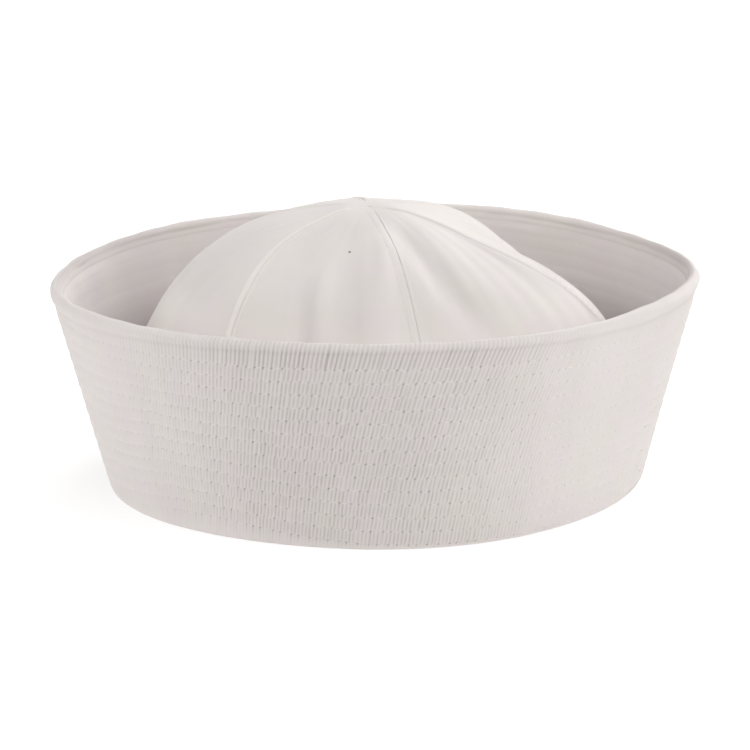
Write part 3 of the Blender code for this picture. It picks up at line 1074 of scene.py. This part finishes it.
SEAM_ROWS = 150
SEAM_CALM_REACH = 0.80
SEAM_CALM_EASE = 0.22
Ridge = namedtuple("Ridge", "across height sunk shade")
# Section of a seam strip; its last value is painted shade in the crease
SEAM_PROFILE = (
    Ridge(-1.00, 0.0, 0.25, 0.0),
    Ridge(-0.92, 0.25, 0.0, 0.0),
    Ridge(-0.78, 0.85, 0.0, 0.0),
    Ridge(-0.66, 0.72, 0.0, 0.02),
    Ridge(-0.45, 1.00, 0.0, 0.0),
    Ridge(-0.14, 0.95, 0.0, 0.0),
    Ridge(-0.06, 0.30, 0.12, 0.08),
    Ridge(0.03, 0.0, 0.32, 0.17),
    Ridge(0.15, 0.30, 0.08, 0.05),
    Ridge(0.30, 0.60, 0.0, 0.0),
    Ridge(0.60, 0.45, 0.0, 0.0),
    Ridge(0.90, 0.12, 0.0, 0.0),
    Ridge(1.00, 0.0, 0.25, 0.0),
)


def seam_fade(distance):
    """One along a seam, easing to nothing where the seams run together at the apex."""
    return smooth((distance - 2.5 * MM) / (9.0 * MM))


def seam_reaches(index):
    """Reach of a seam strip's rows, from its foot to the apex."""
    start = climb_at_height(FOOT_TURN_UP + PIECE_GAP)
    low = reach_at(start)
    radius = crown_radius(np.array(seam_heading(index, 1.0)))
    climbs = np.linspace(start, 1.0, SEAM_ROWS)
    end = 0.5 * MM / radius
    return end + (low - end) * reach_at(climbs) / low


def seam_place(index, reach, aside):
    """Heading and reach of points beside a seam line, aside being to its right, looking up."""
    heading = seam_heading(index, climb_at(reach))
    distance = reach * crown_radius(heading)
    turned = heading + np.degrees(np.arctan2(aside, distance))
    near = distance < crown_radius(heading) / 2
    stretched = np.where(near, np.hypot(aside, distance) / crown_radius(turned), reach)
    return turned, stretched


def build_seam(index, material):
    """A felled seam: a flat strip that feathers out on both sides of the crease at the join."""
    reach = seam_reaches(index)[:, None]
    distance = reach * crown_radius(np.array(seam_heading(index, 1.0)))
    taper = np.minimum(distance / SEAM_TAPER, 1.0)
    fade = seam_fade(distance)
    across, height, sunk, dark = (np.array(part)[None, :] for part in zip(*SEAM_PROFILE))
    aside = across * np.where(across < 0, SEAM_LEFT, SEAM_RIGHT) * taper
    along = np.arange(SEAM_ROWS)[:, None]
    wobble = 0.03 * MM * np.sin(along * 1.7 + index) * np.sin(across * 3)
    low = 1 - smooth((SEAM_CALM_REACH - reach) / SEAM_CALM_EASE)
    shown = fade * (1 - SEAM_LOW_CALM[index] * low)
    lift = shown * (height * SEAM_HEIGHTS[index] + wobble - sunk * MM) - (1 - fade) * 0.30 * MM
    heading, place = seam_place(index, np.broadcast_to(reach, aside.shape), aside)
    points, _ = crown_point(heading, place, lift)
    length = np.cumsum(np.linalg.norm(np.diff(points[:, 5], axis=0, prepend=points[:1, 5]), axis=-1))
    wide = np.append(across[0] * 2 * MM, 3 * MM)
    mesh = grid_mesh(f"seam_{index + 1}", points, cloth_map(wide, length), wrap_columns=True)
    # Painted shade in the crease, and the painted shadows of the folds
    shade_attribute(mesh, dark * shown * SEAM_CREASE_SHADE[index] + crown_shade(heading, place))
    add_piece(f"seam_{index + 1}", mesh, material, (f"crown_seam_{index + 1}",))


def seam_stitches(index, share, side):
    """Ends, directions and lifts of the stitches along one line of a seam."""
    reach = seam_reaches(index)
    fine = np.interp(np.linspace(0, 1, 3000), np.linspace(0, 1, len(reach)), reach)
    distance = fine * crown_radius(np.array(seam_heading(index, 1.0)))
    taper = np.minimum(distance / SEAM_TAPER, 1.0)
    points, outward = crown_point(*seam_place(index, fine, share * side * taper), 0.0 * fine)
    length = np.concatenate([[0.0], np.cumsum(np.linalg.norm(np.diff(points, axis=0), axis=-1))])
    marks = np.arange(SEAM_STITCH_START, length[-1] - SEAM_STITCH_STOP, SEAM_STITCH_LENGTH)
    picks = np.searchsorted(length, marks)
    ends = np.searchsorted(length, marks + SEAM_STITCH_SHARE * SEAM_STITCH_LENGTH)
    lifts = np.full(len(picks), 0.6 * SEAM_HEIGHTS[index] - 0.06 * MM)
    return points[picks], points[ends], outward[picks], lifts


def build_seam_stitches(material):
    """Threads along both edges of all seams, as one joined mesh."""
    groups = []
    for index in range(len(SEAMS)):
        groups += [seam_stitches(index, share, side) for share, side in SEAM_STITCH_LINES]
    groups = joined_groups(groups)
    thread_tubes("seam_stitches", *groups, SEAM_THREAD_RADIUS, material, "seam_twill")


# Surroundings

FLOOR_REACH = 6.0
WHITE = (1.0, 1.0, 1.0, 1.0)
FLOOR_LOOK = {
    "Base Color": (0.5, 0.5, 0.5, 1.0),
    "Roughness": 0.9,
    "Specular IOR Level": 0.1,
    "Emission Color": WHITE,
    "Emission Strength": 0.62,
}


def build_floor():
    """Plain pale floor that glows a little, so that shadows on it stay faint."""
    mesh = bpy.data.meshes.new("floor")
    corners = [(x * FLOOR_REACH, y * FLOOR_REACH, 0) for x, y in ((-1, -1), (1, -1), (1, 1), (-1, 1))]
    mesh.from_pydata(corners, [], [(0, 1, 2, 3)])
    floor = add_object("floor", mesh)
    material = bpy.data.materials.new("pale_floor")
    material.use_nodes = True
    set_inputs(material.node_tree.nodes["Principled BSDF"], FLOOR_LOOK)
    mesh.materials.append(material)


Lamp = namedtuple("Lamp", "name heading elevation power")
LAMPS = (
    Lamp("left_back_box", -110.0, 22.0, 2.8),
    Lamp("left_box", -75.0, 22.0, 6.9),
    Lamp("front_right_box", 40.0, 22.0, 1.7),
    Lamp("right_box", 75.0, 22.0, 5.3),
    Lamp("back_right_box", 150.0, 22.0, 13.1),
    Lamp("front_high_box", 0.0, 55.0, 4.5),
    Lamp("right_high_box", 60.0, 55.0, 4.6),
    Lamp("back_high_box", 180.0, 50.0, 2.3),
    Lamp("top_box", 0.0, 85.0, 5.4),
)
LAMP_DISTANCE = 1.5
LAMP_SIZE = 0.9
LAMP_AIM = Vector((0, 0, 0.05))
WORLD_STRENGTH = 0.01


def build_lights():
    """Soft boxes at both sides and above, and an even pale surround."""
    for lamp in LAMPS:
        light = bpy.data.lights.new(lamp.name, "AREA")
        light.shape = "DISK"
        light.size = LAMP_SIZE
        light.energy = lamp.power
        box = add_object(lamp.name, light)
        turn, lift = radians(lamp.heading), radians(lamp.elevation)
        away = Vector((sin(turn) * cos(lift), -cos(turn) * cos(lift), sin(lift)))
        box.location = LAMP_AIM + away * LAMP_DISTANCE
        box.rotation_euler = away.to_track_quat("Z", "Y").to_euler()
    world = bpy.data.worlds.new("surround")
    world.use_nodes = True
    background = world.node_tree.nodes["Background"]
    set_inputs(background, {"Color": WHITE, "Strength": WORLD_STRENGTH})
    bpy.context.scene.world = world


CAMERA_ELEVATION = 15.5
CAMERA_DISTANCE = 1.4936
CAMERA_ROLL = -0.89
CAMERA_AIM = (0.0, 0.0, 0.045)
FOCAL_PIXELS = 4055.7
PHOTO_PIXELS = 750
PHOTO_CENTRE = (375.66, 354.14)
SENSOR = 36.0


def build_camera():
    """Camera at the photo's angle, with the framing that the photo shows."""
    lift, roll = radians(CAMERA_ELEVATION), radians(CAMERA_ROLL)
    back = Vector((0, -cos(lift), sin(lift)))
    level = Vector((1, 0, 0))
    up = back.cross(level)
    right = level * cos(roll) + up * sin(roll)
    above = up * cos(roll) - level * sin(roll)
    data = bpy.data.cameras.new("photo_view")
    data.sensor_width = SENSOR
    data.lens = SENSOR * FOCAL_PIXELS / PHOTO_PIXELS
    data.shift_x = (PHOTO_PIXELS / 2 - PHOTO_CENTRE[0]) / PHOTO_PIXELS
    data.shift_y = (PHOTO_CENTRE[1] - PHOTO_PIXELS / 2) / PHOTO_PIXELS
    camera = add_object("photo_view", data)
    place = Matrix((right, above, back)).transposed().to_4x4()
    place.translation = Vector(CAMERA_AIM) + back * CAMERA_DISTANCE
    camera.matrix_world = place
    bpy.context.scene.camera = camera


# The two tones between which each cloth is mottled
Tones = namedtuple("Tones", "light dark")
BRIM_TONES = Tones((0.80, 0.756, 0.738), (0.778, 0.731, 0.714))
# The inner ply's cloth is a lighter copy of the brim's: painted light
INNER_LIT_TONES = Tones((0.87, 0.832, 0.824), (0.845, 0.802, 0.794))
THREAD_TONES = Tones((0.89, 0.86, 0.84), (0.86, 0.82, 0.80))
CROWN_TONES = Tones((0.82, 0.782, 0.762), (0.80, 0.757, 0.737))
# The first seam's strip is a paler copy of the crown's cloth: painted light on the raised strip
LIT_SEAM_TONES = Tones((0.89, 0.85, 0.828), (0.87, 0.824, 0.80))
# The first gore's cloth is a lighter copy of the crown's, painted light, and carries a dark speck
SPOTTED_LIT_TONES = Tones((0.838, 0.797, 0.776), (0.818, 0.771, 0.749))
# Dark tone that the shade attribute blends each cloth towards: painted shade
PAINTED_SHADE_TONE = (0.14, 0.10, 0.09)
CLOTH_WEAVE = 2.2
THREAD_WEAVE = 3.0


def main():
    bpy.context.scene.view_settings.view_transform = "Standard"
    brim = cotton("brim_cotton", *BRIM_TONES, CLOTH_WEAVE, PAINTED_SHADE_TONE)
    inner = cotton("inner_lit_cotton", *INNER_LIT_TONES, CLOTH_WEAVE, PAINTED_SHADE_TONE)
    thread = cotton("thread_cotton", *THREAD_TONES, THREAD_WEAVE)
    crown = cotton("crown_cotton", *CROWN_TONES, CLOTH_WEAVE, PAINTED_SHADE_TONE)
    seam = cotton("seam_cotton", *CROWN_TONES, CLOTH_WEAVE, PAINTED_SHADE_TONE)
    lit_seam = cotton("lit_seam_cotton", *LIT_SEAM_TONES, CLOTH_WEAVE, PAINTED_SHADE_TONE)
    speck_reach = reach_at(np.array(SPECK_CLIMB))
    speck_at, _ = crown_point(np.array(SPECK_HEADING), speck_reach, np.array(0.0))
    speck = (tuple(speck_at), SPECK_RADIUS, SPECK_TONE)
    spotted = cotton("spotted_lit_cotton", *SPOTTED_LIT_TONES, CLOTH_WEAVE, PAINTED_SHADE_TONE, speck)
    outer_half("brim_outer_front", -90.0, 90.0, brim, ("brim_outer",))
    outer_half("brim_outer_back", 90.0, 270.0, brim, ("brim_outer",))
    build_inner_ply(inner)
    build_brim_stitches(thread)
    for index in range(len(SEAMS)):
        build_gore(index, spotted if index == 0 else crown)
        build_seam(index, lit_seam if index == 0 else seam)
    build_seam_stitches(thread)
    build_floor()
    build_lights()
    build_camera()


main()
